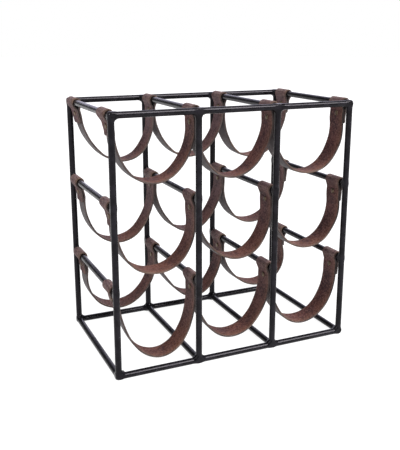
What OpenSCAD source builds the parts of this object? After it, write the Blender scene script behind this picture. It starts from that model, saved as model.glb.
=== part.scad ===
// Nine-bottle wine rack: a welded frame of round iron bar with six riveted leather straps.
// Millimetres. +Z is up and -Y is the front. The origin is on the floor under the middle of the rack.

/* [Frame] */
// Distance between neighbouring uprights, centre to centre
bay_pitch = 120; // [112:1:132]
// Distance from the front uprights to the back uprights, centre to centre
frame_depth = 210; // [190:1:260]
// Height of the low row of depth bars above the bottom rails, centre to centre
low_bar_h = 120; // [112:1:124]
// Height of the middle row of depth bars above the bottom rails, centre to centre
mid_bar_h = 237; // [228:1:244]
// Height of the top rails above the bottom rails, centre to centre
top_bar_h = 356; // [348:1:372]
// Diameter of the round iron bar
bar_d = 9; // [8:0.5:10]

/* [Welds] */
// Radius of the concave face of a weld bead
weld_r = 3.2; // [2:0.1:3.6]
// Width of a weld bead across the bar
weld_w = 6; // [4:0.5:7]

/* [Leather straps] */
// Width of a strap, along the depth bars
strap_w = 32; // [26:1:38]
// Thickness of the leather
strap_t = 2.5; // [2:0.1:3]
// Distance from an upright's centre to the near edge of the strap
strap_inset = 9.5; // [9:0.5:14]
// Depth of a sling's middle line below the centres of the bars that carry it
sling_drop = 97; // [90:1:103]
// Depth below the bar centres at which the two layers part into slings
sling_start = 24; // [22:1:28]
// Depth below the bar centre at which the strap's loose end is cut
tail_drop = 31; // [28:1:36]

/* [Rivets] */
// Diameter of a rivet's cap
rivet_cap_d = 8; // [7:0.5:9]
// Height of a rivet's domed cap
rivet_cap_h = 1.8; // [1.2:0.1:2.2]
// Depth of the rivets below the bar centres
rivet_drop = 16.5; // [16:0.5:18]

/* [Hidden] */
$fn = 72;

// How each sling of a strap hangs, from left to right: how much deeper than sling_drop, how far its belly
// leans right and how far both its sides swell out
front_low_hang = [[12, 7, -2], [2, 1, 0], [2, 1, 0]];
front_mid_hang = [[4, 4, 3], [0, 7, 0], [-2, 4, 1]];
front_top_hang = [[-3, 2, -1], [-1, -2, -2], [3, 2, 3]];
back_low_hang = [[-4, -2, 1], [-2, 9, -5], [-3, 12, 3]];
back_mid_hang = [[4, 0, 0], [0, 0, -3], [-2, -3, 1]];
back_top_hang = [[-5, 10, -2], [-4, 2, -2], [4, -5, 0]];
// The one sling under an outer bar pulls the neck of its loop inward, so that neck swings about the bar
neck_swing_a = [13, 0, 0, -5];
// The share of a sling's length over which the pull of its neck fades out, and how the pull bends as it fades
pull_share = 0.36;
pull_bend = 1.2;

iron = [0.13, 0.13, 0.14];
weld_iron = [0.22, 0.22, 0.23];
leather = [0.36, 0.24, 0.21];
brass = [0.55, 0.44, 0.28];

bays = 3;
columns = bays + 1;
bar_r = bar_d / 2;
frame_w = bays * bay_pitch;
front_y = -frame_depth / 2;
back_y = frame_depth / 2;
bottom_z = bar_r;
low_z = bottom_z + low_bar_h;
mid_z = bottom_z + mid_bar_h;
top_z = bottom_z + top_bar_h;

// Gap left between the saddle cut at a bar's end and the bar that it lands on
saddle_gap = 0.1;
saddle_r = bar_r + saddle_gap;
// Chamfer that dresses the free ends of the rails
rail_end_chamfer = 1.5;

// Running gap between a leather loop and its bar, and half the gap between the two pinched layers
loop_gap = 0.3;
layer_gap = 0.15;
loop_in_r = bar_r + loop_gap;
// Depth at which the two layers of a loop come together, a little above the rivet's cap
pinch_margin = 1;
pinch_drop = rivet_drop - rivet_cap_d / 2 - pinch_margin;

// The middle of each pinched layer, measured from the plane between the layers
layer_x = layer_gap + strap_t / 2;
// Radius of a loop's middle line, and the angle below level at which its round stretch ends and its neck begins
loop_mid_r = loop_in_r + strap_t / 2;
pinch_reach = sqrt(pow(layer_x, 2) + pow(pinch_drop, 2));
neck_a = atan2(pinch_drop, layer_x) - acos(loop_mid_r / pinch_reach);

// A sling is a three-centred arch turned over: two side arcs and one bottom arc, which meet at sling_a
sling_a = 45;
sling_half = bay_pitch / 2 - layer_x;
sling_rise = sling_drop - sling_start;
arc_shift = (sling_rise - sling_half) / (sin(sling_a) + cos(sling_a) - 1);
side_arc_r = sling_half + arc_shift * cos(sling_a);
bottom_arc_r = side_arc_r - arc_shift;
// How many points draw a loop's round stretch, and a sling's side arcs and bottom arc
loop_steps = 36;
side_steps = 9;
bottom_steps = 18;

rivet_shank_r = 1.5;
rivet_hole_r = 1.7;
// Outer face of the pinched layers, measured from the plane between them
pinch_half = layer_gap + strap_t;
// Radius of the rounded rim of a rivet's cap
cap_rim_r = 0.9;
// Depth of the socket in the rivet's cap that takes the end of the post, and the gaps round and beyond that end
cap_socket = 0.9;
post_side_gap = 0.02;
post_end_gap = 0.1;

function column_x(column) = -frame_w / 2 + (column - 1) * bay_pitch;
function on_circle(r, a) = [r * cos(a), r * sin(a)];

// How far a bead's blank reaches back between the bars, and how thick the bead is left at its toes
weld_root = 1.6;
weld_toe = 0.4;

// ---------- Iron bars ----------

// A round bar along X, centred on the origin
module bar_x(length, r) {
    rotate([0, 90, 0])
        cylinder(h = length, r = r, center = true);
}

// A round bar along Y, centred on the origin
module bar_y(length, r) {
    rotate([90, 0, 0])
        cylinder(h = length, r = r, center = true);
}

// The cutter for a saddle cut round a rail
module rail_space(y, z) {
    translate([0, y, z])
        bar_x(frame_w + 2 * bar_d, saddle_r);
}

// A rail runs the full width, past the outer uprights, and its ends are dressed with a chamfer
module rail(y, z) {
    body_l = frame_w + bar_d - 2 * rail_end_chamfer;
    color(iron)
        translate([0, y, z])
            union() {
                bar_x(body_l, bar_r);
                for (side = [0, 180])
                    rotate([0, 90 + side, 0])
                        translate([0, 0, body_l / 2])
                            cylinder(h = rail_end_chamfer, r1 = bar_r, r2 = bar_r - rail_end_chamfer);
            }
}

// An upright stands between a bottom rail and a top rail, saddle cut at both ends
module upright(column, y) {
    color(iron)
        difference() {
            translate([column_x(column), y, bottom_z])
                cylinder(h = top_bar_h, r = bar_r);
            rail_space(y, bottom_z);
            rail_space(y, top_z);
        }
}

// A depth bar runs from the front to the back, saddle cut round the uprights and the rails
module depth_bar(column, z, on_rails) {
    color(iron)
        difference() {
            translate([column_x(column), 0, z])
                bar_y(frame_depth, bar_r);
            for (y = [front_y, back_y]) {
                translate([column_x(column), y, z])
                    cylinder(h = 2 * bar_d, r = saddle_r, center = true);
                if (on_rails)
                    rail_space(y, z);
            }
        }
}

// ---------- Welds ----------

// One bead in the corner between a bar along X and a bar along Z that meet at the origin.
// It fills the corner towards +X and +Z.
module bead() {
    inner = bar_r - weld_root;
    outer = bar_r + weld_r;
    face_centre = outer + weld_toe;
    difference() {
        rotate([90, 0, 0])
            linear_extrude(weld_w, center = true)
                difference() {
                    translate([inner, inner])
                        square(outer - inner);
                    translate([face_centre, face_centre])
                        circle(r = weld_r);
                }
        bar_x(4 * outer, bar_r);
        cylinder(h = 4 * outer, r = bar_r, center = true);
    }
}

// Beads at one end of a depth bar that lands on an upright: one above the bar and one below it.
// inward is +1 at the front and -1 at the back.
module upright_joint(inward) {
    for (up = [0, 180])
        rotate([0, 0, 90 * inward])
            rotate([up, 0, 0])
                bead();
}

// Beads where an upright and a depth bar both land on a rail.
// up is +1 on a bottom rail and -1 on a top rail; sides lists the ways that the rail runs on, as +1 and -1.
module rail_joint(inward, up, sides) {
    rotate([0, 0, 90 * inward])
        rotate([up > 0 ? 0 : 180, 0, 0])
            bead();
    for (side = sides) {
        mirror([side > 0 ? 0 : 1, 0, 0])
            mirror([0, 0, up > 0 ? 0 : 1])
                bead();
        mirror([side > 0 ? 0 : 1, 0, 0])
            rotate([-90 * inward, 0, 0])
                bead();
    }
}

function rail_sides(column) = column == 1 ? [1] : column == columns ? [-1] : [1, -1];

// All the beads at one height on the front or the back of the frame
module welds(y, z) {
    inward = y < 0 ? 1 : -1;
    up = z == bottom_z ? 1 : z == top_z ? -1 : 0;
    color(weld_iron)
        for (column = [1 : columns])
            translate([column_x(column), y, z])
                if (up == 0)
                    upright_joint(inward);
                else
                    rail_joint(inward, up, rail_sides(column));
}

// ---------- Leather straps ----------

// Points along an arc about centre from angle a to angle b, each with its share of the way from share_a to share_b
function arc(centre, r, a, b, steps, share_a, share_b) =
    [for (i = [0 : steps])
        let (p = centre + on_circle(r, a + (b - a) * i / steps))
        [p.x, p.y, share_a + (share_b - share_a) * i / steps]];

// Middle line of a plain sling from left to right. The local origin is midway between the bar centres.
function plain_sling() =
    let (
        left = arc([side_arc_r - sling_half, -sling_start], side_arc_r, 180, 180 + sling_a, side_steps, 0, 1 / 3),
        bottom = arc(
            [0, -sling_start - arc_shift * sin(sling_a)], bottom_arc_r,
            180 + sling_a, 360 - sling_a, bottom_steps, 1 / 3, 2 / 3
        ),
        right = arc([sling_half - side_arc_r, -sling_start], side_arc_r, 360 - sling_a, 360, side_steps, 2 / 3, 1)
    )
    concat(left, [for (i = [1 : bottom_steps]) bottom[i]], [for (i = [1 : side_steps]) right[i]]);

// What is left of a neck's pull at this share of the sling's length from it
function pull_left(share) = pow(max(0, 1 - share / pull_share), pull_bend);

// Middle line of the sling in one bay, hung deeper, leaned, swelled and pulled by its necks
function hung_sling(bay, hang) =
    [for (p = plain_sling())
        let (
            share = p.z,
            pull = sling_start * (
                sin(neck_swing_a[bay - 1]) * pull_left(share) + sin(neck_swing_a[bay]) * pull_left(1 - share)
            )
        )
        [
            bay_x(bay) + p.x + hang.y * sin(180 * share) - hang.z * sin(360 * share) + pull,
            p.y - hang.x * pow(max(0, sin(180 * share)), 1.5)
        ]];

// A point turned about the origin: a positive angle swings a point below it to the right
function swung(p, a) = [p.x * cos(a) - p.y * sin(a), p.x * sin(a) + p.y * cos(a)];
function bay_x(bay) = column_x(bay) + bay_pitch / 2;

// A point given from the bar of a column, swung with the neck there
function at_column(column, p) = swung(p, neck_swing_a[column - 1]) + [column_x(column), 0];

// Middle line of the loop on one bar, from left to right, between the heights at which its layers come together
function loop_line(column) =
    [for (p = concat(
            [[-layer_x, -pinch_drop]],
            [for (i = [0 : loop_steps])
                on_circle(loop_mid_r, 180 + neck_a - (180 + 2 * neck_a) * i / loop_steps)],
            [[layer_x, -pinch_drop]]
        ))
        at_column(column, p)];

// The loose end at an outer bar, from its neck down. It lies against the leg of its sling, one layer further out.
// near and far are the leg's first two points, and side is -1 on the left.
function tail(column, side, near, far) =
    let (
        start = at_column(column, [side * layer_x, -sling_start]),
        drift = (far.x - near.x) * (tail_drop - sling_start) / (near.y - far.y)
    )
    [start, [start.x + drift, -tail_drop]];

// Middle line of a whole strap: a loop on each bar, a sling in each bay and a loose tail at each end
function strap_line(hangs) =
    let (
        slings = [for (bay = [1 : bays]) hung_sling(bay, hangs[bay - 1])],
        first = slings[0],
        last = slings[bays - 1],
        end = len(last) - 1,
        left_tail = tail(1, -1, first[0], first[1]),
        right_tail = tail(columns, 1, last[end], last[end - 1])
    )
    concat(
        [left_tail[1], left_tail[0]],
        [for (column = [1 : columns])
            for (p = concat(loop_line(column), column < columns ? slings[column - 1] : []))
                p],
        right_tail
    );

// The line moved to its left by shift, with mitred corners
function beside(line, shift) =
    let (end = len(line) - 1)
    [for (i = [0 : end])
        let (
            before = line[max(i, 1)] - line[max(i, 1) - 1],
            after = line[min(i, end - 1) + 1] - line[min(i, end - 1)],
            both = before / norm(before) + after / norm(after)
        )
        line[i] + shift * 2 / (both * both) * [-both.y, both.x]];

// A ribbon of leather seen from its edge
module ribbon(line) {
    near = beside(line, strap_t / 2);
    far = beside(line, -strap_t / 2);
    polygon(concat(near, [for (i = [len(far) - 1 : -1 : 0]) far[i]]));
}

// Places its children at each rivet of a strap, turned with the neck of its loop, with +Z out of the rivet's head
module at_necks(strap_y, z) {
    for (column = [1 : columns])
        translate([column_x(column), strap_y + strap_w / 2, z])
            rotate([0, -neck_swing_a[column - 1], 0])
                translate([0, 0, -rivet_drop])
                    rotate([0, 90 * head_side(column), 0])
                        children();
}

// A strap whose near edge is at strap_y
module strap(strap_y, z, hangs) {
    color(leather)
        difference() {
            translate([0, strap_y + strap_w, z])
                rotate([90, 0, 0])
                    linear_extrude(strap_w)
                        ribbon(strap_line(hangs));
            at_necks(strap_y, z)
                cylinder(h = 4 * pinch_half, r = rivet_hole_r, center = true);
        }
}

// ---------- Rivets ----------

// A domed cap on the plane Z = 0, with a rounded rim
module rivet_dome() {
    rim_x = rivet_cap_d / 2 - cap_rim_r;
    crown_r = (pow(rim_x, 2) + pow(rivet_cap_h - cap_rim_r, 2)) / (2 * (rivet_cap_h - cap_rim_r));
    union() {
        rotate_extrude() {
            square([rim_x, cap_rim_r]);
            translate([rim_x, 0])
                intersection() {
                    circle(r = cap_rim_r);
                    square(cap_rim_r);
                }
        }
        intersection() {
            translate([0, 0, rivet_cap_h - crown_r])
                sphere(r = crown_r);
            translate([0, 0, cap_rim_r])
                cylinder(h = rivet_cap_h, r = rim_x);
        }
    }
}

// The outer end columns have their rivet heads outside the rack, and the inner columns face right
function head_side(column) = column == 1 ? -1 : 1;

// Rivet posts: a domed head with a shank through both layers of leather
module rivet_posts(strap_y, z) {
    color(brass)
        at_necks(strap_y, z)
            union() {
                translate([0, 0, pinch_half])
                    rivet_dome();
                translate([0, 0, -pinch_half - cap_socket + post_end_gap])
                    cylinder(h = 2 * pinch_half + cap_socket, r = rivet_shank_r);
            }
}

// Rivet caps: pressed on the end of the shank, on the other face of the leather
module rivet_caps(strap_y, z) {
    color(brass)
        at_necks(strap_y, z)
            rotate([180, 0, 0])
                translate([0, 0, pinch_half])
                    difference() {
                        rivet_dome();
                        translate([0, 0, -cap_socket])
                            cylinder(h = 2 * cap_socket, r = rivet_shank_r + post_side_gap);
                    }
}

// ---------- Pieces ----------

front_strap_y = front_y + strap_inset;
back_strap_y = back_y - strap_inset - strap_w;

rail(front_y, bottom_z);  // front_bottom_rail
rail(front_y, top_z);  // front_top_rail
rail(back_y, bottom_z);  // back_bottom_rail
rail(back_y, top_z);  // back_top_rail

for (column = [1 : columns]) {
    upright(column, front_y);
    upright(column, back_y);
    depth_bar(column, bottom_z, true);
    depth_bar(column, low_z, false);
    depth_bar(column, mid_z, false);
    depth_bar(column, top_z, true);
}

welds(front_y, bottom_z);  // front_bottom_welds
welds(front_y, low_z);  // front_low_welds
welds(front_y, mid_z);  // front_mid_welds
welds(front_y, top_z);  // front_top_welds
welds(back_y, bottom_z);  // back_bottom_welds
welds(back_y, low_z);  // back_low_welds
welds(back_y, mid_z);  // back_mid_welds
welds(back_y, top_z);  // back_top_welds

strap(front_strap_y, low_z, front_low_hang);  // front_low_strap
strap(front_strap_y, mid_z, front_mid_hang);  // front_mid_strap
strap(front_strap_y, top_z, front_top_hang);  // front_top_strap
strap(back_strap_y, low_z, back_low_hang);  // back_low_strap
strap(back_strap_y, mid_z, back_mid_hang);  // back_mid_strap
strap(back_strap_y, top_z, back_top_hang);  // back_top_strap

rivet_posts(front_strap_y, low_z);  // front_low_rivet_posts
rivet_posts(front_strap_y, mid_z);  // front_mid_rivet_posts
rivet_posts(front_strap_y, top_z);  // front_top_rivet_posts
rivet_posts(back_strap_y, low_z);  // back_low_rivet_posts
rivet_posts(back_strap_y, mid_z);  // back_mid_rivet_posts
rivet_posts(back_strap_y, top_z);  // back_top_rivet_posts

rivet_caps(front_strap_y, low_z);  // front_low_rivet_caps
rivet_caps(front_strap_y, mid_z);  // front_mid_rivet_caps
rivet_caps(front_strap_y, top_z);  // front_top_rivet_caps
rivet_caps(back_strap_y, low_z);  // back_low_rivet_caps
rivet_caps(back_strap_y, mid_z);  // back_mid_rivet_caps
rivet_caps(back_strap_y, top_z);  // back_top_rivet_caps
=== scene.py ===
"""Looks of the nine-bottle wine rack: leather straps, rivets, weld beads, black iron and a plain studio.

Everything is in metres in the CAD frame: +Z up, -Y the front, the origin on the floor under the middle.
"""
import math

import bmesh
import bpy
import numpy as np
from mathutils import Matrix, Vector


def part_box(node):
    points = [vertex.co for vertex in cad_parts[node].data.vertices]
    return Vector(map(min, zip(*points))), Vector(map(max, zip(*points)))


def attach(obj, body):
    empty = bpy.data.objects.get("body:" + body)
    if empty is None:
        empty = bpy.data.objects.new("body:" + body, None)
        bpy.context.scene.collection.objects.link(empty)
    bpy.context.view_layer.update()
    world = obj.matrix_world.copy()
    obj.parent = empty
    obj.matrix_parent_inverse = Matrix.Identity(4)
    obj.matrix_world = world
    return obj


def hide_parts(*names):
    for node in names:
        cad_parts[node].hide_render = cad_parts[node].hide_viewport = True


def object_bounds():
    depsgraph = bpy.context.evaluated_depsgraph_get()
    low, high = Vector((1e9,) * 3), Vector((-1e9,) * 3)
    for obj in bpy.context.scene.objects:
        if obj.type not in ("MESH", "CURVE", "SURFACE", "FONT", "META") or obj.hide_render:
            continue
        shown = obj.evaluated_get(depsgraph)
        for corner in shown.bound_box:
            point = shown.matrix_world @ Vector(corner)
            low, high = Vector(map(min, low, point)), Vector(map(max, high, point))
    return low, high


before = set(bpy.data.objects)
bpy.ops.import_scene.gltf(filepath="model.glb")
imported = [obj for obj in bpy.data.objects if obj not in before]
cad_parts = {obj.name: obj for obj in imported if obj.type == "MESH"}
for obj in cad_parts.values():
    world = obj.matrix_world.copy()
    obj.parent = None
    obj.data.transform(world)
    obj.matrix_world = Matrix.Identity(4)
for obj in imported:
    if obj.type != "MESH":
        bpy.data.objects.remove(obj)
cad_low, cad_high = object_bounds()

MM = 0.001
SIDES = ("front", "back")
ROWS = ("low", "mid", "top")
COLUMNS = (1, 2, 3, 4)
BAYS = (0, 1, 2)


# ---------- Sizes that come from the frame ----------

def middle_of(node):
    low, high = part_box(node)
    return (low + high) / 2


BAR_R = (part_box("mid_bar_1")[1].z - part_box("mid_bar_1")[0].z) / 2
BAR_X = [middle_of(f"mid_bar_{column}").x for column in COLUMNS]
LEVEL_Z = {row: middle_of(f"{row}_bar_1").z for row in ("bottom",) + ROWS}
RAIL_Y = {side: middle_of(f"{side}_top_rail").y for side in SIDES}
STRAP_Y = {side: middle_of(f"{side}_top_strap").y for side in SIDES}
STRAP_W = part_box("front_top_strap")[1].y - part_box("front_top_strap")[0].y
STRAP_T = 2.5 * MM
# Depths below the middles of the bars: where the two layers of a loop come together, the rivet, where the
# layers part into slings, where a loose end is cut, and the bottom of a plain sling's middle line
PINCH_DROP = 11.5 * MM
RIVET_DROP = 16.5 * MM
SLING_START = 24 * MM
TAIL_DROP = 31 * MM
SLING_DROP = 97 * MM
# The middle of each pinched layer stands this far from the plane between the two layers
LAYER_X = 1.4 * MM
LOOP_GAP = 0.3 * MM
LOOP_R = BAR_R + LOOP_GAP + STRAP_T / 2


# ---------- Camera ----------

VIEW_AZIMUTH = math.radians(-24.344)
VIEW_ELEVATION = math.radians(13.884)
VIEW_DISTANCE = 1.0295
VIEW_TARGET = Vector((-0.0145, -0.0081, 0.2139))
LENS = 54.4
# The lens axis meets the photograph a little above the middle of its frame
SHIFT_UP = -0.0556

camera_data = bpy.data.cameras.new("camera")
camera_data.lens = LENS
camera_data.shift_y = SHIFT_UP
camera = bpy.data.objects.new("camera", camera_data)
bpy.context.scene.collection.objects.link(camera)
back_to_camera = Vector((
    math.sin(VIEW_AZIMUTH) * math.cos(VIEW_ELEVATION),
    -math.cos(VIEW_AZIMUTH) * math.cos(VIEW_ELEVATION),
    math.sin(VIEW_ELEVATION),
))
camera.location = VIEW_TARGET + back_to_camera * VIEW_DISTANCE
camera.rotation_mode = "QUATERNION"
camera.rotation_quaternion = (-back_to_camera).to_track_quat("-Z", "Y")
bpy.context.scene.camera = camera


# ---------- Studio ----------

def sun(name, azimuth, elevation, colour, strength, angle):
    """A soft light from far away. Azimuth 0 shines from the front and 90 from the right."""
    data = bpy.data.lights.new(name, "SUN")
    data.color = colour
    data.energy = strength
    data.angle = math.radians(angle)
    lamp = bpy.data.objects.new(name, data)
    a, e = math.radians(azimuth), math.radians(elevation)
    towards = Vector((math.sin(a) * math.cos(e), -math.cos(a) * math.cos(e), math.sin(e)))
    lamp.rotation_mode = "QUATERNION"
    lamp.rotation_quaternion = towards.to_track_quat("Z", "Y")
    bpy.context.scene.collection.objects.link(lamp)


WARM_WHITE = (1, 0.99, 0.98)
sun("key_softbox", azimuth=34, elevation=40, colour=WARM_WHITE, strength=4.6, angle=34)
sun("top_softbox", azimuth=0, elevation=84, colour=WARM_WHITE, strength=0.9, angle=60)
sun("left_softbox", azimuth=-65, elevation=35, colour=(1, 1, 1), strength=1.0, angle=50)
sun("back_softbox", azimuth=156, elevation=16, colour=(0.83, 0.80, 1), strength=1.05, angle=60)

# The world lights the rack faintly, and the camera alone sees it as the photograph's white
world = bpy.data.worlds.new("studio")
world.use_nodes = True
bpy.context.scene.world = world
world_nodes = world.node_tree.nodes
world_links = world.node_tree.links
background = world_nodes["Background"]
background.inputs["Color"].default_value = (0.94, 0.93, 1.0, 1)
background.inputs["Strength"].default_value = 0.25
backdrop = world_nodes.new("ShaderNodeBackground")
backdrop.inputs["Color"].default_value = (1, 1, 1, 1)
backdrop.inputs["Strength"].default_value = 1.0
light_path = world_nodes.new("ShaderNodeLightPath")
world_mix = world_nodes.new("ShaderNodeMixShader")
world_links.new(light_path.outputs["Is Camera Ray"], world_mix.inputs["Fac"])
world_links.new(background.outputs[0], world_mix.inputs[1])
world_links.new(backdrop.outputs[0], world_mix.inputs[2])
world_links.new(world_mix.outputs[0], world_nodes["World Output"].inputs["Surface"])

bpy.context.scene.view_settings.view_transform = "Standard"


# ---------- Material helpers ----------

class Paint:
    """One material's node tree, with short calls for the nodes that the finishes here use."""

    def __init__(self, name):
        self.material = bpy.data.materials.new(name)
        self.material.use_nodes = True
        self.nodes = self.material.node_tree.nodes
        self.links = self.material.node_tree.links
        self.shader = self.nodes["Principled BSDF"]
        self.place = self.nodes.new("ShaderNodeTexCoord").outputs["Object"]

    def put(self, value, socket):
        """A value is set on the socket, and another node's output is linked to it."""
        if isinstance(value, bpy.types.NodeSocket):
            self.links.new(value, socket)
        else:
            socket.default_value = value

    def scaled(self, scale):
        """Object coordinates, stretched by a scale for each axis."""
        node = self.nodes.new("ShaderNodeMapping")
        node.inputs["Scale"].default_value = scale
        self.links.new(self.place, node.inputs["Vector"])
        return node.outputs[0]

    def noise(self, scale, detail=3.0, rough=0.55, stretch=None, distortion=0.0):
        node = self.nodes.new("ShaderNodeTexNoise")
        node.inputs["Scale"].default_value = scale
        node.inputs["Detail"].default_value = detail
        node.inputs["Roughness"].default_value = rough
        node.inputs["Distortion"].default_value = distortion
        self.links.new(self.scaled(stretch) if stretch else self.place, node.inputs["Vector"])
        return node.outputs["Fac"]

    def pebbles(self, scale, smoothness):
        node = self.nodes.new("ShaderNodeTexVoronoi")
        node.feature = "SMOOTH_F1"
        node.inputs["Scale"].default_value = scale
        node.inputs["Smoothness"].default_value = smoothness
        self.links.new(self.place, node.inputs["Vector"])
        return node.outputs["Distance"]

    def attribute(self, name):
        node = self.nodes.new("ShaderNodeAttribute")
        node.attribute_name = name
        return node.outputs["Fac"]

    def math(self, operation, a, b):
        node = self.nodes.new("ShaderNodeMath")
        node.operation = operation
        self.put(a, node.inputs[0])
        self.put(b, node.inputs[1])
        return node.outputs[0]

    def times(self, a, b):
        return self.math("MULTIPLY", a, b)

    def span(self, value, low, high, to_low=0.0, to_high=1.0):
        """A soft ramp: to_low where the value is at most low, to_high where it is at least high."""
        node = self.nodes.new("ShaderNodeMapRange")
        node.interpolation_type = "SMOOTHSTEP"
        self.put(value, node.inputs["Value"])
        node.inputs["From Min"].default_value = low
        node.inputs["From Max"].default_value = high
        node.inputs["To Min"].default_value = to_low
        node.inputs["To Max"].default_value = to_high
        return node.outputs[0]

    def mix(self, factor, a, b):
        node = self.nodes.new("ShaderNodeMix")
        node.data_type = "RGBA"
        self.put(factor, node.inputs["Factor"])
        self.put(a if isinstance(a, bpy.types.NodeSocket) else (*a, 1), node.inputs["A"])
        self.put(b if isinstance(b, bpy.types.NodeSocket) else (*b, 1), node.inputs["B"])
        return node.outputs["Result"]

    def bump(self, height, distance, strength=1.0, below=None):
        node = self.nodes.new("ShaderNodeBump")
        node.inputs["Strength"].default_value = strength
        node.inputs["Distance"].default_value = distance
        self.put(height, node.inputs["Height"])
        if below is not None:
            self.links.new(below, node.inputs["Normal"])
        return node.outputs[0]

    def finish(self, colour, roughness, normal, metallic=0.0, specular=0.5):
        self.put(colour, self.shader.inputs["Base Color"])
        self.put(roughness, self.shader.inputs["Roughness"])
        self.put(normal, self.shader.inputs["Normal"])
        self.shader.inputs["Metallic"].default_value = metallic
        self.shader.inputs["Specular IOR Level"].default_value = specular
        return self.material


# ---------- Materials ----------

def iron_material(name, lumps, shine):
    """Black lacquer over hot-rolled bar: soft mill ripples, fine pits and blotches that differ in gloss."""
    paint = Paint(name)
    black = (0.0016, 0.0014, 0.0021)
    charcoal = (0.0075, 0.0068, 0.0092)
    dust = (0.02, 0.019, 0.019)
    blotch = paint.noise(75, 4, 0.6)
    speck = paint.noise(900, 3, 0.7)
    colour = paint.mix(paint.span(blotch, 0.4, 0.62), black, charcoal)
    colour = paint.mix(paint.span(speck, 0.66, 0.78), colour, dust)
    roughness = paint.span(blotch, 0.3, 0.7, shine, shine + 0.12)
    ripples = paint.bump(paint.noise(130, 2, 0.5), lumps)
    pits = paint.bump(paint.span(speck, 0.35, 0.62), 0.00003, 0.4, ripples)
    paint.shader.inputs["Specular Tint"].default_value = (0.96, 0.91, 1, 1)
    return paint.finish(colour, roughness, pits, specular=0.17)


def leather_grain_material():
    """The hair side: oiled brown, pebbled, creased where it bends and rubbed lighter where bottles lie, with
    painted sheen, a painted highlight on the loops' tops and painted light on its front side.
    """
    paint = Paint("leather_grain")
    oiled = (0.035, 0.0122, 0.0145)
    chestnut = (0.102, 0.0355, 0.0295)
    pores = (0.020, 0.006, 0.0055)
    rubbed_tan = (0.19, 0.079, 0.047)
    painted_front_light_tan = (0.17, 0.08, 0.045)
    painted_sheen_grey = (0.128, 0.089, 0.106)
    crack_dust_and_highlight = (0.25, 0.185, 0.165)
    rim_tan = (0.17, 0.098, 0.068)
    light_fleck = (0.2, 0.105, 0.088)
    dark_fleck = (0.018, 0.0065, 0.0065)
    patches = paint.noise(38, 5, 0.6)
    mottle = paint.noise(240, 4, 0.65)
    flecks = paint.noise(400, 2, 0.5)
    crease = paint.noise(1.0, 4, 0.6, stretch=(420, 40, 420))
    pebbles = paint.pebbles(820, 0.35)
    bend = paint.attribute("bend")

    colour = paint.mix(paint.span(patches, 0.33, 0.68), oiled, chestnut)
    colour = paint.mix(paint.span(mottle, 0.46, 0.7, 0.0, 0.75), colour, pores)
    rubbed = paint.times(paint.attribute("belly"), paint.span(patches, 0.3, 0.62, 0.35, 1.0))
    rubbed = paint.times(rubbed, paint.span(mottle, 0.3, 0.6, 0.45, 1.0))
    colour = paint.mix(paint.times(rubbed, 0.75), colour, rubbed_tan)
    # Painted light: each strap's front half turns lighter tan, as the key light from the front right would
    # light it
    painted_front_light = paint.times(paint.attribute("front_side"), paint.span(patches, 0.25, 0.6, 0.45, 1.0))
    colour = paint.mix(paint.times(painted_front_light, 0.55), colour, painted_front_light_tan)
    # Painted sheen and highlight: greyish violet over the upper legs, the loops' tops and the left bar's
    # necks
    painted_sheen_mask = paint.times(paint.attribute("painted_sheen"), paint.span(patches, 0.25, 0.7, 0.35, 1.0))
    colour = paint.mix(paint.times(painted_sheen_mask, 0.6), colour, painted_sheen_grey)
    # Light dust in the creases over the bars, together with a painted highlight on the loops' tops
    cracked_and_lit = paint.times(bend, paint.span(crease, 0.44, 0.62, 0.15, 1.0))
    colour = paint.mix(paint.times(cracked_and_lit, 0.6), colour, crack_dust_and_highlight)
    rim_wear = paint.times(paint.attribute("rim"), paint.span(mottle, 0.35, 0.6, 0.25, 1.0))
    colour = paint.mix(paint.times(rim_wear, 0.55), colour, rim_tan)
    colour = paint.mix(paint.span(flecks, 0.5, 0.62, 0.0, 0.38), colour, light_fleck)
    colour = paint.mix(paint.span(flecks, 0.37, 0.48, 0.55, 0.0), colour, dark_fleck)

    roughness = paint.span(mottle, 0.3, 0.7, 0.58, 0.76)
    grain = paint.bump(pebbles, 0.00022, 0.8)
    fine = paint.bump(mottle, 0.00022, 0.6, grain)
    folds = paint.bump(paint.times(crease, bend), 0.0005, 0.8, fine)
    return paint.finish(colour, roughness, folds, specular=0.17)


def leather_flesh_material():
    """The flesh side: matt, greyish and fibrous."""
    paint = Paint("leather_flesh")
    dark_grey = (0.056, 0.0435, 0.045)
    light_grey = (0.105, 0.0865, 0.088)
    between_fibres = (0.052, 0.039, 0.04)
    dressed_rim = (0.055, 0.042, 0.041)
    patches = paint.noise(45, 4, 0.6)
    fibres = paint.noise(700, 5, 0.75, distortion=0.6)
    colour = paint.mix(paint.span(patches, 0.3, 0.7), dark_grey, light_grey)
    colour = paint.mix(paint.span(fibres, 0.45, 0.7, 0.0, 0.6), colour, between_fibres)
    colour = paint.mix(paint.times(paint.attribute("rim"), 0.6), colour, dressed_rim)
    nap = paint.bump(fibres, 0.0004, 0.8)
    paint.shader.inputs["Sheen Weight"].default_value = 0.2
    paint.shader.inputs["Sheen Roughness"].default_value = 0.5
    return paint.finish(colour, 0.92, nap, specular=0.15)


def leather_edge_material():
    """The cut edge: fibrous, dressed dark along the legs, and rubbed tan at the belly and over the bars."""
    paint = Paint("leather_edge")
    fibre_shadow = (0.04, 0.025, 0.021)
    patches = paint.span(paint.noise(70, 4, 0.6), 0.35, 0.65)
    fibres = paint.noise(1500, 4, 0.7)
    dressed = paint.mix(patches, (0.034, 0.022, 0.0205), (0.07, 0.05, 0.046))
    tan = paint.mix(patches, (0.055, 0.031, 0.024), (0.12, 0.072, 0.053))
    bend_wear = paint.times(paint.attribute("bend"), 0.6)
    worn = paint.math("MAXIMUM", paint.attribute("belly"), bend_wear)
    colour = paint.mix(paint.span(worn, 0.05, 0.7), dressed, tan)
    colour = paint.mix(paint.span(fibres, 0.45, 0.7, 0.0, 0.7), colour, fibre_shadow)
    normal = paint.bump(fibres, 0.0003, 0.7)
    return paint.finish(colour, 0.62, normal, specular=0.3)


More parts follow.
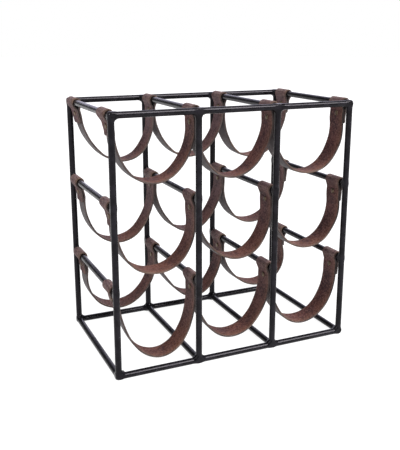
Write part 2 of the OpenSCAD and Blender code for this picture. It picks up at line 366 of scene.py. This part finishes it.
def brass_material():
    """Antique brass: dull and finely scratched, with brown tarnish in patches."""
    paint = Paint("antique_brass")
    dull_brass = (0.17, 0.125, 0.086)
    brown_tarnish = (0.06, 0.042, 0.031)
    tarnish = paint.noise(420, 4, 0.65)
    scratches = paint.noise(1800, 2, 0.5, stretch=(1, 1, 4))
    colour = paint.mix(paint.span(tarnish, 0.38, 0.66), dull_brass, brown_tarnish)
    roughness = paint.span(tarnish, 0.35, 0.7, 0.36, 0.6)
    normal = paint.bump(scratches, 0.00005, 0.5)
    return paint.finish(colour, roughness, normal, metallic=1.0)


def floor_material():
    """A light table: its own faint glow keeps the studio's shadows pale."""
    paint = Paint("pale_floor")
    cloud = paint.noise(1.5, 3, 0.5)
    colour = paint.mix(paint.span(cloud, 0.3, 0.7), (0.2, 0.2, 0.2), (0.22, 0.22, 0.22))
    normal = paint.bump(paint.noise(300, 2, 0.5), 0.0001, 0.2)
    paint.shader.inputs["Emission Color"].default_value = (1, 1, 1, 1)
    paint.shader.inputs["Emission Strength"].default_value = 0.93
    return paint.finish(colour, 0.85, normal, specular=0.1)


IRON = iron_material("black_iron", 0.0002, 0.16)
WELD = iron_material("weld_iron", 0.00025, 0.15)
GRAIN = leather_grain_material()
FLESH = leather_flesh_material()
EDGE = leather_edge_material()
BRASS = brass_material()


# ---------- Mesh helpers ----------

def make_object(name, points, faces, materials, face_materials=None):
    """A smooth-shaded mesh object; face_materials gives each face's place in materials."""
    mesh = bpy.data.meshes.new(name)
    mesh.from_pydata([tuple(p) for p in points], [], [tuple(f) for f in faces])
    for material in materials:
        mesh.materials.append(material)
    if face_materials is not None:
        mesh.polygons.foreach_set("material_index", face_materials)
    mesh.polygons.foreach_set("use_smooth", [True] * len(mesh.polygons))
    mesh.update()
    thing = bpy.data.objects.new(name, mesh)
    bpy.context.scene.collection.objects.link(thing)
    return thing


def add_attribute(thing, name, values):
    """A number at each point of the mesh, which Paint.attribute reads."""
    layer = thing.data.attributes.new(name, "FLOAT", "POINT")
    layer.data.foreach_set("value", np.asarray(values, np.float32))


# Seeds are fixed: each kind of random draw has its own hundred, plus the number of the piece it is for
def waves(x, seed, wavelength):
    """A smooth wandering line between about -1 and 1: three sines with phases drawn from the seed."""
    draw = np.random.default_rng(seed)
    total = np.zeros_like(x)
    for share, ratio in ((0.5, 1.0), (0.3, 1.83), (0.2, 3.1)):
        total += share * np.sin(2 * np.pi * (x / wavelength * ratio + draw.random()))
    return total


def waves_2d(x, y, seed, wavelength):
    """The same on a surface: five sine ridges in directions drawn from the seed."""
    draw = np.random.default_rng(seed)
    total = np.zeros(np.broadcast(x, y).shape)
    for share in (0.3, 0.25, 0.2, 0.15, 0.1):
        turn = draw.random() * np.pi
        pitch = wavelength * (0.5 + draw.random())
        along = x * math.cos(turn) + y * math.sin(turn)
        total += share * np.sin(2 * np.pi * (along / pitch + draw.random()))
    return total


def bell(x, middle, width):
    """1 at the middle, falling smoothly to nothing over about twice the width."""
    return np.exp(-((x - middle) / width) ** 2)


# ---------- Leather straps ----------

# How each sling hangs, from left to right, in mm, as in the CAD: how much deeper than the plain one, how far
# its belly leans right, and how far both its sides swell out
SLING_HANG = {
    ("front", "top"): ((-3, 2, -1), (-1, -2, -2), (3, 2, 3)),
    ("front", "mid"): ((4, 4, 3), (0, 7, 0), (-2, 4, 1)),
    ("front", "low"): ((12, 7, -2), (2, 1, 0), (2, 1, 0)),
    ("back", "top"): ((-5, 10, -2), (-4, 2, -2), (4, -5, 0)),
    ("back", "mid"): ((4, 0, 0), (0, 0, -3), (-2, -3, 1)),
    ("back", "low"): ((-4, -2, 1), (-2, 9, -5), (-3, 12, 3)),
}
# How strongly a painted sheen, greyish violet, lies on each strap's upper legs
PAINTED_SHEEN = {
    ("front", "top"): 0.2, ("front", "mid"): 0.3, ("front", "low"): 0.35,
    ("back", "top"): 1.0, ("back", "mid"): 0.9, ("back", "low"): 0.3,
}
# The one sling under an outer bar pulls its loop's neck inward, so that neck swings about the bar
NECK_SWING = [math.radians(a) for a in (13, 0, 0, -5)]
# The share of a sling's length over which that pull fades out, and how it bends as it fades
PULL_SHARE = 0.36
PULL_BEND = 1.2
# Spacing of the mesh's rings along the strap, in the loops and in the slings
LOOP_STEP = 0.9 * MM
SLING_STEP = 2.0 * MM
# A loop's neck lies within this distance of its bar, to the left or right
NECK_REACH = 8 * MM
# How far a belly's edges stand up, and the depth over which they come to stand
BELLY_CUP = 0.45 * MM
CUP_DEPTH = 40 * MM
# How far a neck's edges part, and how far above and below the rivet
EDGE_PART = 0.55 * MM
PART_R = 9 * MM
# How far a rivet presses the leather in, and how far around it
RIVET_PRESS = 0.25 * MM
PRESS_R = 4.5 * MM
# How far a strap wanders along its bars, its width wavers, its surface ripples and its slings roll
WANDER = 0.9 * MM
WIDTH_WAVER = 0.010
RIPPLE = 0.12 * MM
SLING_ROLL = math.radians(2.2)
# Radius of the corners at a strap's cut ends, and of the dressed corners along its length
END_R = 3.0 * MM
EDGE_R = 0.75 * MM
# Places in a strap's list of materials
GRAIN_KIND, FLESH_KIND, EDGE_KIND = 0, 1, 2


def neck_points(side):
    """Middle line of a loop's neck from the layers' start up to the round stretch; side -1 is the left."""
    reach = math.hypot(PINCH_DROP, LAYER_X)
    tilt = math.atan2(PINCH_DROP, LAYER_X) - math.acos(LOOP_R / reach)
    touch = (side * LOOP_R * math.cos(tilt), -LOOP_R * math.sin(tilt))
    return [(side * LAYER_X, -PINCH_DROP), touch], tilt


def turned_by(x, z, angle):
    """Points turned about the origin: a positive angle swings what hangs below it to the right."""
    return x * math.cos(angle) - z * math.sin(angle), x * math.sin(angle) + z * math.cos(angle)


def loop_line(bar_x, swing):
    """Middle line over one bar, from the sling or tail on its left to the sling or tail on its right."""
    left, tilt = neck_points(-1)
    right, _ = neck_points(1)
    turn = np.linspace(math.pi + tilt, -tilt, 40)
    points = [(-LAYER_X, -SLING_START)] + left
    points += [(LOOP_R * math.cos(a), LOOP_R * math.sin(a)) for a in turn[1:-1]]
    points += right[::-1] + [(LAYER_X, -SLING_START)]
    points = [turned_by(x, z, swing) for x, z in points]
    return [(bar_x + x, z) for x, z in points]


def sling_line(bay, extra, lean, swell):
    """Middle line of one sling: three arcs, hung deeper by extra, leaned right and swelled at its sides."""
    left_x, right_x = BAR_X[bay], BAR_X[bay + 1]
    half = (right_x - left_x) / 2 - LAYER_X
    rise = SLING_DROP - SLING_START
    turn = math.radians(45)
    shift = (rise - half) / (math.sin(turn) + math.cos(turn) - 1)
    side_r = half + shift * math.cos(turn)
    bottom_r = side_r - shift
    arcs = (
        ((side_r - half, -SLING_START), side_r, math.pi, math.pi + turn),
        ((0, -SLING_START - shift * math.sin(turn)), bottom_r, math.pi + turn, 2 * math.pi - turn),
        ((half - side_r, -SLING_START), side_r, 2 * math.pi - turn, 2 * math.pi),
    )
    points = []
    for (cx, cz), r, a, b in arcs:
        for angle in np.linspace(a, b, 30)[:-1]:
            points.append(((left_x + right_x) / 2 + cx + r * math.cos(angle), cz + r * math.sin(angle)))
    points = np.array(points)
    share = np.linspace(0, 1, len(points))
    points[:, 0] += lean * np.sin(math.pi * share) - swell * np.sin(2 * math.pi * share)
    points[:, 1] -= extra * np.sin(math.pi * share) ** 1.5
    for swing, away in ((NECK_SWING[bay], share), (NECK_SWING[bay + 1], 1 - share)):
        points[:, 0] += SLING_START * math.sin(swing) * np.clip(1 - away / PULL_SHARE, 0, 1) ** PULL_BEND
    return [tuple(p) for p in points[1:]]


def tail_end(bar_x, swing, sling, side, depth):
    """Where a loose end stops, along its sling's leg and one layer further out; side -1 is the left."""
    leg = np.array(sling if side < 0 else sling[::-1])[:20]
    start_x, end_x = np.interp([SLING_START, depth], -leg[:, 1], leg[:, 0])
    x, _ = turned_by(side * LAYER_X, -SLING_START, swing)
    return bar_x + x + end_x - start_x, -depth


def length_along(line):
    """Distance from a line's start to each of its points."""
    return np.concatenate([[0], np.cumsum(np.hypot(*np.diff(line, axis=0).T))])


def resample(points, step_of):
    """Points along a polyline whose spacing at each place is step_of(height)."""
    points = np.array(points)
    lengths = length_along(points)
    where = [0.0]
    while where[-1] < lengths[-1]:
        height = np.interp(where[-1], lengths, points[:, 1])
        where.append(where[-1] + step_of(height))
    where = np.array(where) * lengths[-1] / where[-1]
    return np.stack([np.interp(where, lengths, points[:, i]) for i in (0, 1)], 1)


def smoothed(points, passes):
    """The line with its corners eased, while its two ends stay."""
    for _ in range(passes):
        inner = (points[:-2] + 2 * points[1:-1] + points[2:]) / 4
        points = np.concatenate([points[:1], inner, points[-1:]])
    return points


def strap_section(half_w, half_t):
    """The strap's cross-section as a closed ring of (across, up), and the material of each stretch."""
    flat = np.linspace(-1, 1, 15) * (half_w - EDGE_R)
    corner_angles = [math.radians(a) for a in (67.5, 45, 22.5, 0)]
    ring, kinds = [], []
    for side in (1, -1):
        row = flat if side > 0 else flat[::-1]
        ring += [(x, side * half_t) for x in row]
        kinds += [GRAIN_KIND if side > 0 else FLESH_KIND] * (len(row) - 1)
        bends = [(side * (half_w - EDGE_R + EDGE_R * math.sin(math.pi / 2 - a)),
                  side * (half_t - EDGE_R + EDGE_R * math.cos(math.pi / 2 - a))) for a in corner_angles]
        mirror = [(x, -z) for x, z in bends[::-1]][1:]
        ring += bends + mirror
        kinds += [EDGE_KIND] * (len(bends) + len(mirror) + 1)
    return np.array(ring), kinds


def strap_line(side, row, number):
    """Middle line of a whole strap from its left tail to its right one, as (x, height over the bars)."""
    draw = np.random.default_rng(100 + number)
    tails = TAIL_DROP + draw.uniform(-1.5, 1.0, 2) * MM
    slings = [sling_line(bay, *(MM * np.array(SLING_HANG[side, row][bay]))) for bay in BAYS]
    line = [tail_end(BAR_X[0], NECK_SWING[0], slings[0], -1, tails[0])]
    for i, bar_x in enumerate(BAR_X):
        line += loop_line(bar_x, NECK_SWING[i])
        line += slings[i] if i in BAYS else []
    line.append(tail_end(BAR_X[-1], NECK_SWING[-1], slings[-1], 1, tails[1]))
    line = resample(line, lambda z: LOOP_STEP if z > -SLING_START else SLING_STEP)
    return smoothed(line, 3)


def surface_lift(line, run, across, up, number):
    """How far a strap's points stand off their plain places: cupped bellies, parted edges, rivet dents."""
    height = line[:, 1]
    share = across / (STRAP_W / 2)
    s = run[:, None]
    nearest_bar = np.min(np.abs(line[:, :1] - np.array(BAR_X)[None, :]), axis=1)
    at_neck = nearest_bar < NECK_REACH
    in_sling = np.clip((-height - SLING_START) / CUP_DEPTH, 0, 1)[:, None]
    in_neck = (bell(height, -RIVET_DROP, PART_R) * at_neck)[:, None]
    lift = BELLY_CUP * in_sling * share ** 2
    lift = lift + EDGE_PART * in_neck * np.abs(share) ** 2.5
    lift = lift + RIPPLE * waves_2d(s, across, 400 + number, wavelength=0.022)
    press = bell(height, -RIVET_DROP, PRESS_R)[:, None] * bell(across, 0, PRESS_R)
    press = press * at_neck[:, None]
    lift = lift - RIVET_PRESS * press * (up > 0)
    roll = SLING_ROLL * waves(run, 500 + number, wavelength=0.16) * in_sling[:, 0]
    return lift + across * np.sin(roll)[:, None]


def end_trim(run):
    """How far a strap's long edges draw in near its two cut ends, which have round corners."""
    from_end = np.minimum(run, run[-1] - run)
    return END_R - np.sqrt(np.clip(END_R ** 2 - np.clip(END_R - from_end, 0, END_R) ** 2, 0, None))


def strap_points(side, row, number, line, run, section):
    """The strap's surface: its cross-section carried along the middle line, as rings of points."""
    tangent = np.gradient(line, run, axis=0)
    tangent /= np.linalg.norm(tangent, axis=1)[:, None]
    normal = np.stack([-tangent[:, 1], tangent[:, 0]], 1)
    across, up = section[:, 0][None, :], section[:, 1][None, :]
    share = across / (STRAP_W / 2)

    # The strap's middle wanders along the bars, and its two cut edges are not quite straight
    wander = WANDER * waves(run, 200 + number, wavelength=0.21)
    waver = WIDTH_WAVER * waves(run[:, None], 300 + number, wavelength=0.05)
    width = 1 + waver * np.sign(share) * np.abs(share) ** 3
    y = STRAP_Y[side] + wander[:, None] + across * width
    y = y - np.sign(share) * np.abs(share) ** 6 * end_trim(run)[:, None]

    offset = up + surface_lift(line, run, across, up, number)
    return np.stack([
        line[:, :1] + normal[:, :1] * offset,
        y,
        LEVEL_Z[row] + line[:, 1:] + normal[:, 1:] * offset,
    ], 2)


def tube_faces(count, ring, kinds):
    """Faces of a closed tube of count rings, with the material of each: kinds gives it along a ring."""
    faces, face_materials = [], []
    for i in range(count - 1):
        for j in range(ring):
            k = (j + 1) % ring
            faces.append((i * ring + j, i * ring + k, (i + 1) * ring + k, (i + 1) * ring + j))
            face_materials.append(kinds[j])
    faces.append(tuple(range(ring))[::-1])
    faces.append(tuple((count - 1) * ring + j for j in range(ring)))
    return faces, face_materials + [EDGE_KIND, EDGE_KIND]


def add_wear(strap, side, row, number, line, run, share):
    """Point attributes for the leather's materials: its bends, painted sheen, rubbed belly, rims and the
    painted light on its front side.
    """
    height = line[:, 1]
    # Ramps from 0 to 1: over the bars, up the legs, across to the left bar's neck, and down to the belly
    top_of_loop = np.clip((height + 6 * MM) / (8 * MM), 0, 1)
    leg = np.clip((height + 95 * MM) / (45 * MM), 0, 1)
    left_neck = np.clip((BAR_X[0] + 3 * MM - line[:, 0]) / (4 * MM), 0, 1) * (height < 0)
    belly = np.clip((-height - 52 * MM) / (38 * MM), 0, 1)
    # Painted sheen and highlight: on the upper legs as set for each strap, strongest over the loops' tops,
    # and on the left bar's necks
    painted_sheen = np.maximum(PAINTED_SHEEN[side, row] * leg, 0.9 * top_of_loop)
    painted_sheen = np.maximum(painted_sheen, 0.5 * left_neck)
    rub = 0.55 + 0.45 * waves(run, 600 + number, wavelength=0.3)
    along = {"bend": top_of_loop, "painted_sheen": painted_sheen, "belly": belly * rub}
    around = {
        "rim": np.clip((np.abs(share) - 0.84) / 0.12, 0, 1),
        "front_side": np.clip((-share - 0.05) / 0.85, 0, 1),
    }
    for name, values in along.items():
        add_attribute(strap, name, np.repeat(values, len(share)))
    for name, values in around.items():
        add_attribute(strap, name, np.tile(values, len(line)))


def build_strap(side, row, number):
    """One continuous strap over the four bars of a row."""
    line = strap_line(side, row, number)
    run = length_along(line)
    section, kinds = strap_section(STRAP_W / 2, STRAP_T / 2)
    points = strap_points(side, row, number, line, run, section)
    faces, face_materials = tube_faces(len(line), len(section), kinds)
    name = f"{side}_{row}_leather"
    strap = make_object(name, points.reshape(-1, 3), faces, [GRAIN, FLESH, EDGE], face_materials)
    add_wear(strap, side, row, number, line, run, section[:, 0] / (STRAP_W / 2))
    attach(strap, f"{side}_{row}_sling")
    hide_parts(f"{side}_{row}_strap")


# ---------- Rivets ----------

CAP_R = 4.0 * MM
CAP_H = 1.8 * MM
CAP_RIM_R = 0.42 * MM
SHANK_R = 1.5 * MM
DENT = 0.07 * MM
# The most that a dome's height leans, as a share of the distance across it
DOME_LEAN = 0.03
# Outer face of the two pinched layers, less the depth to which a cap sinks in
SINK = 0.15 * MM
SEAT_X = LAYER_X + STRAP_T / 2 - SINK


def lathe(profile, segments=40):
    """A closed body turned about Z from (radius, height) pairs, which start and end at radius 0."""
    points = [(0, 0, profile[0][1])]
    for r, z in profile[1:-1]:
        for i in range(segments):
            a = 2 * math.pi * i / segments
            points.append((r * math.cos(a), r * math.sin(a), z))
    points.append((0, 0, profile[-1][1]))
    faces = []
    rings = len(profile) - 2
    for i in range(segments):
        j = (i + 1) % segments
        faces.append((0, 1 + j, 1 + i))
        for ring in range(rings - 1):
            a, b = 1 + ring * segments, 1 + (ring + 1) * segments
            faces.append((a + i, a + j, b + j, b + i))
        last = 1 + (rings - 1) * segments
        faces.append((last + i, last + j, len(points) - 1))
    return np.array(points), faces


def cap_profile(depth, inner_r):
    """Profile of a domed cap on the plane Z = 0, with a shank of inner_r that reaches down by depth."""
    profile = [(0, -depth)]
    profile += [(inner_r * f, -depth) for f in (0.7, 0.96)]
    profile += [(inner_r, -depth + 0.1 * MM), (inner_r, -0.05 * MM), (inner_r * 1.15, 0)]
    profile += [(CAP_R * f, 0) for f in (0.6, 0.9)]
    for i in range(1, 7):
        a = math.radians(-90 + 30 * i)
        profile.append((CAP_R + CAP_RIM_R * (math.cos(a) - 1), CAP_RIM_R * (1 + math.sin(a))))
    shoulder_r, shoulder_z = profile[-1]
    for i in range(1, 12):
        a = math.radians(90 * i / 12)
        profile.append((shoulder_r * math.cos(a), shoulder_z + (CAP_H - shoulder_z) * math.sin(a)))
    profile.append((0, CAP_H))
    return profile


def build_rivets(side, row, number, kind):
    """The four heads, or the four caps, of one strap's rivets."""
    depth = 2 * SEAT_X + 0.4 * MM if kind == "posts" else 0.3 * MM
    shank_r = SHANK_R if kind == "posts" else SHANK_R * 1.5
    shape, shape_faces = lathe(cap_profile(depth, shank_r))
    draw = np.random.default_rng(700 + number * 2 + (kind == "caps"))
    all_points, all_faces = [], []
    for column, bar_x in zip(COLUMNS, BAR_X):
        head = -1 if column == 1 else 1
        facing = head if kind == "posts" else -head
        # The dome is dented and leans a little, and its shank stays straight
        p = shape.copy()
        dents = waves_2d(p[:, 0], p[:, 1], int(draw.integers(1e6)), wavelength=0.005)
        p[:, 2] += DENT * dents * (p[:, 2] > 0.3 * MM)
        lean = draw.uniform(-DOME_LEAN, DOME_LEAN, 2)
        p[:, 2] += (lean[0] * p[:, 0] + lean[1] * p[:, 1]) * (p[:, 2] > -0.2 * MM)
        along, across = turned_by(p[:, 0], p[:, 1], draw.uniform(0, 2 * math.pi))
        out = facing * (SEAT_X + p[:, 2])
        x, z = turned_by(out, across * facing - RIVET_DROP, NECK_SWING[column - 1])
        placed = np.stack([bar_x + x, STRAP_Y[side] + along, LEVEL_Z[row] + z], 1)
        base = sum(len(q) for q in all_points)
        all_points.append(placed)
        all_faces += [tuple(base + i for i in f) for f in shape_faces]
    name = f"{side}_{row}_brass_{kind}"
    rivets = make_object(name, np.concatenate(all_points), all_faces, [BRASS])
    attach(rivets, f"{side}_{row}_sling")
    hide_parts(f"{side}_{row}_rivet_{kind}")


# ---------- Weld beads ----------

# Spacing and half-width of the grid that draws a joint
WELD_STEP = 0.55 * MM
WELD_REACH = 11.5 * MM
# The widths over which bars and balls run together, and how far the weld metal is lumpy
WELD_BLEND = 6.5 * MM
BALL_BLEND = 2 * MM
WELD_LUMP = 0.32 * MM
# A bar that butts against another starts this far from its middle
ARM_START = 3.6 * MM
# The beads' own bars are a little thinner than the real ones, so they hide inside them away from the joint
HIDDEN_R = BAR_R - 0.08 * MM


def smooth_least(a, b, blend):
    """The smaller of two distances, with the crease between them filled over the blend's width."""
    h = np.clip(blend - np.abs(a - b), 0, None) / blend
    return np.minimum(a, b) - h * h * blend / 4


def joint_field(p, arms, balls, seed):
    """Distance to the bars that meet at the origin, run together like weld metal, and to a few balls."""
    field = None
    closest = None
    for arm in arms:
        d = np.array(arm, float)
        opposite = tuple(-c for c in arm)
        through = opposite in arms
        if through and arm < opposite:
            continue
        along = p @ d if through else np.clip(p @ d, ARM_START, None)
        away = np.linalg.norm(p - along[:, None] * d, axis=1) - HIDDEN_R
        field = away if field is None else smooth_least(field, away, WELD_BLEND)
        closest = away if closest is None else np.minimum(closest, away)
    molten = np.clip((closest - field) / (WELD_BLEND / 4), 0, 1)
    lumps = waves_2d(p[:, 0] + p[:, 2], p[:, 1] - p[:, 2], seed, wavelength=0.006)
    field = field - WELD_LUMP * lumps * molten
    for r, at in balls:
        ball = np.linalg.norm(p - np.array(at), axis=1) - r
        field = smooth_least(field, ball, BALL_BLEND)
    # The fitter has dressed the faces, so the metal stands little proud of the bars' own sides
    proud = 0.4 * MM if balls else 0.05 * MM
    for axis in range(3):
        towards = {int(np.sign(arm[axis])) for arm in arms if arm[axis]}
        for sign in (1, -1):
            if sign not in towards:
                field = np.maximum(field, sign * p[:, axis] - BAR_R - proud)
    return np.maximum(field, np.max(np.abs(p), axis=1) - WELD_REACH + WELD_STEP)


def along_axis(axis, low, high, rest):
    """An index into a cube of cells: low to high on one axis, and rest on the other two."""
    index = [rest] * 3
    index[axis] = slice(low, high)
    return tuple(index)


def net_points(f, grid, edge):
    """A point in each cell that the surface cuts, at the mean of its crossings, and the points' numbers."""
    n = len(f)
    cells = n - 1
    total = np.zeros((cells, cells, cells, 3))
    hits = np.zeros((cells, cells, cells))
    for axis in range(3):
        low = along_axis(axis, 0, n - 1, slice(0, n))
        a, b = f[low], f[along_axis(axis, 1, n, slice(0, n))]
        cross = (a < 0) != (b < 0)
        where = grid[low].copy()
        where[..., axis] += edge * np.where(cross, a / np.where(cross, a - b, 1), 0)
        others = [i for i in range(3) if i != axis]
        for da in (0, 1):
            for db in (0, 1):
                part = [slice(0, cells)] * 3
                part[others[0]] = slice(da, da + cells)
                part[others[1]] = slice(db, db + cells)
                c = cross[tuple(part)]
                total += where[tuple(part)] * c[..., None]
                hits += c
    used = hits > 0
    number = np.full(used.shape, -1)
    number[used] = np.arange(used.sum())
    return total[used] / hits[used][:, None], number


def net_quads(f, number):
    """One quad for each grid edge that the surface cuts, joining the points of the four cells around it."""
    n = len(f)
    quads = []
    for axis in range(3):
        a = f[along_axis(axis, 0, n - 1, slice(1, n - 1))]
        b = f[along_axis(axis, 1, n, slice(1, n - 1))]
        spots = np.argwhere((a < 0) != (b < 0))
        inside_first = (a < 0)[tuple(spots.T)]
        spots = spots + np.array([0 if i == axis else 1 for i in range(3)])
        corners = []
        for d1, d2 in ((0, 0), (-1, 0), (-1, -1), (0, -1)):
            cell = spots.copy()
            cell[:, (axis + 1) % 3] += d1
            cell[:, (axis + 2) % 3] += d2
            corners.append(number[tuple(cell.T)])
        quad = np.stack(corners, 1)
        quads.append(np.where(inside_first[:, None], quad, quad[:, ::-1]))
    return np.concatenate(quads)


def pulled_onto(points, field_of, step):
    """The points moved two steps down the field's slope, which puts them on the surface itself."""
    nudge = step * 0.25
    for _ in range(2):
        slope = np.stack([(field_of(points + nudge * e) - field_of(points - nudge * e)) / (2 * nudge)
                          for e in np.eye(3)], 1)
        move = field_of(points)[:, None] * slope / np.maximum((slope ** 2).sum(1), 0.2)[:, None]
        points = points - np.clip(move, -step, step)
    return points


def surface_net(field_of, reach, step):
    """Points and quads of the surface where field_of crosses zero, inside a cube of half-width reach."""
    n = int(2 * reach / step) + 1
    ticks = np.linspace(-reach, reach, n)
    grid = np.stack(np.meshgrid(ticks, ticks, ticks, indexing="ij"), -1)
    f = field_of(grid.reshape(-1, 3)).reshape(n, n, n)
    points, number = net_points(f, grid, 2 * reach / (n - 1))
    return pulled_onto(points, field_of, step), net_quads(f, number)


def joint_arms(side, level, column):
    """The directions in which bars leave a joint."""
    inward = 1 if side == "front" else -1
    arms = [(0, inward, 0)]
    if level in ("bottom", "top"):
        arms.append((0, 0, 1 if level == "bottom" else -1))
        arms += [(1, 0, 0)] if column < 4 else []
        arms += [(-1, 0, 0)] if column > 1 else []
    else:
        arms += [(0, 0, 1), (0, 0, -1)]
    return arms


def corner_balls(side, level, column):
    """Radius and place of the weld balls on an outer corner; the two front feet have one more each."""
    if column in (2, 3) or level not in ("bottom", "top"):
        return []
    balls = [(4.55 * MM, (0, 0, 0))]
    if (side, level, column) == ("front", "bottom", 4):
        balls.append((5.7 * MM, (-0.3 * MM, 0.6 * MM, 1.0 * MM)))
    if (side, level, column) == ("front", "bottom", 1):
        balls.append((1.7 * MM, (6.3 * MM, -0.8 * MM, 6.2 * MM)))
    return balls


def build_welds(side, level, number):
    """The weld metal at the four joints of one side and level."""
    all_points, all_faces = [], []
    for column in COLUMNS:
        arms = joint_arms(side, level, column)
        balls = corner_balls(side, level, column)
        seed = 900 + 10 * number + column
        points, quads = surface_net(
            lambda p: joint_field(p, arms, balls, seed), WELD_REACH, WELD_STEP)
        base = sum(len(q) for q in all_points)
        points = points + np.array([BAR_X[column - 1], RAIL_Y[side], LEVEL_Z[level]])
        all_points.append(np.clip(points, np.array(cad_low), np.array(cad_high)))
        all_faces.append(quads + base)
    name = f"{side}_{level}_weld_beads"
    faces = np.concatenate(all_faces).tolist()
    beads = make_object(name, np.concatenate(all_points), faces, [WELD])
    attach(beads, "frame")
    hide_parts(f"{side}_{level}_welds")


# ---------- Build everything ----------

for number, (side, row) in enumerate((side, row) for side in SIDES for row in ROWS):
    build_strap(side, row, number)
    build_rivets(side, row, number, "posts")
    build_rivets(side, row, number, "caps")

for number, (side, level) in enumerate((side, level) for side in SIDES for level in LEVEL_Z):
    build_welds(side, level, number)

# The straps, rivets and welds of the CAD are replaced above and hidden, so the bars are left
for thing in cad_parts.values():
    if thing.hide_render:
        continue
    thing.data.materials.clear()
    thing.data.materials.append(IRON)

FLOOR_R = 12.0
floor_mesh = bmesh.new()
bmesh.ops.create_circle(floor_mesh, cap_ends=True, radius=FLOOR_R, segments=96)
floor_data = bpy.data.meshes.new("floor")
floor_mesh.to_mesh(floor_data)
floor_mesh.free()
floor_data.materials.append(floor_material())
floor = bpy.data.objects.new("floor", floor_data)
bpy.context.scene.collection.objects.link(floor)
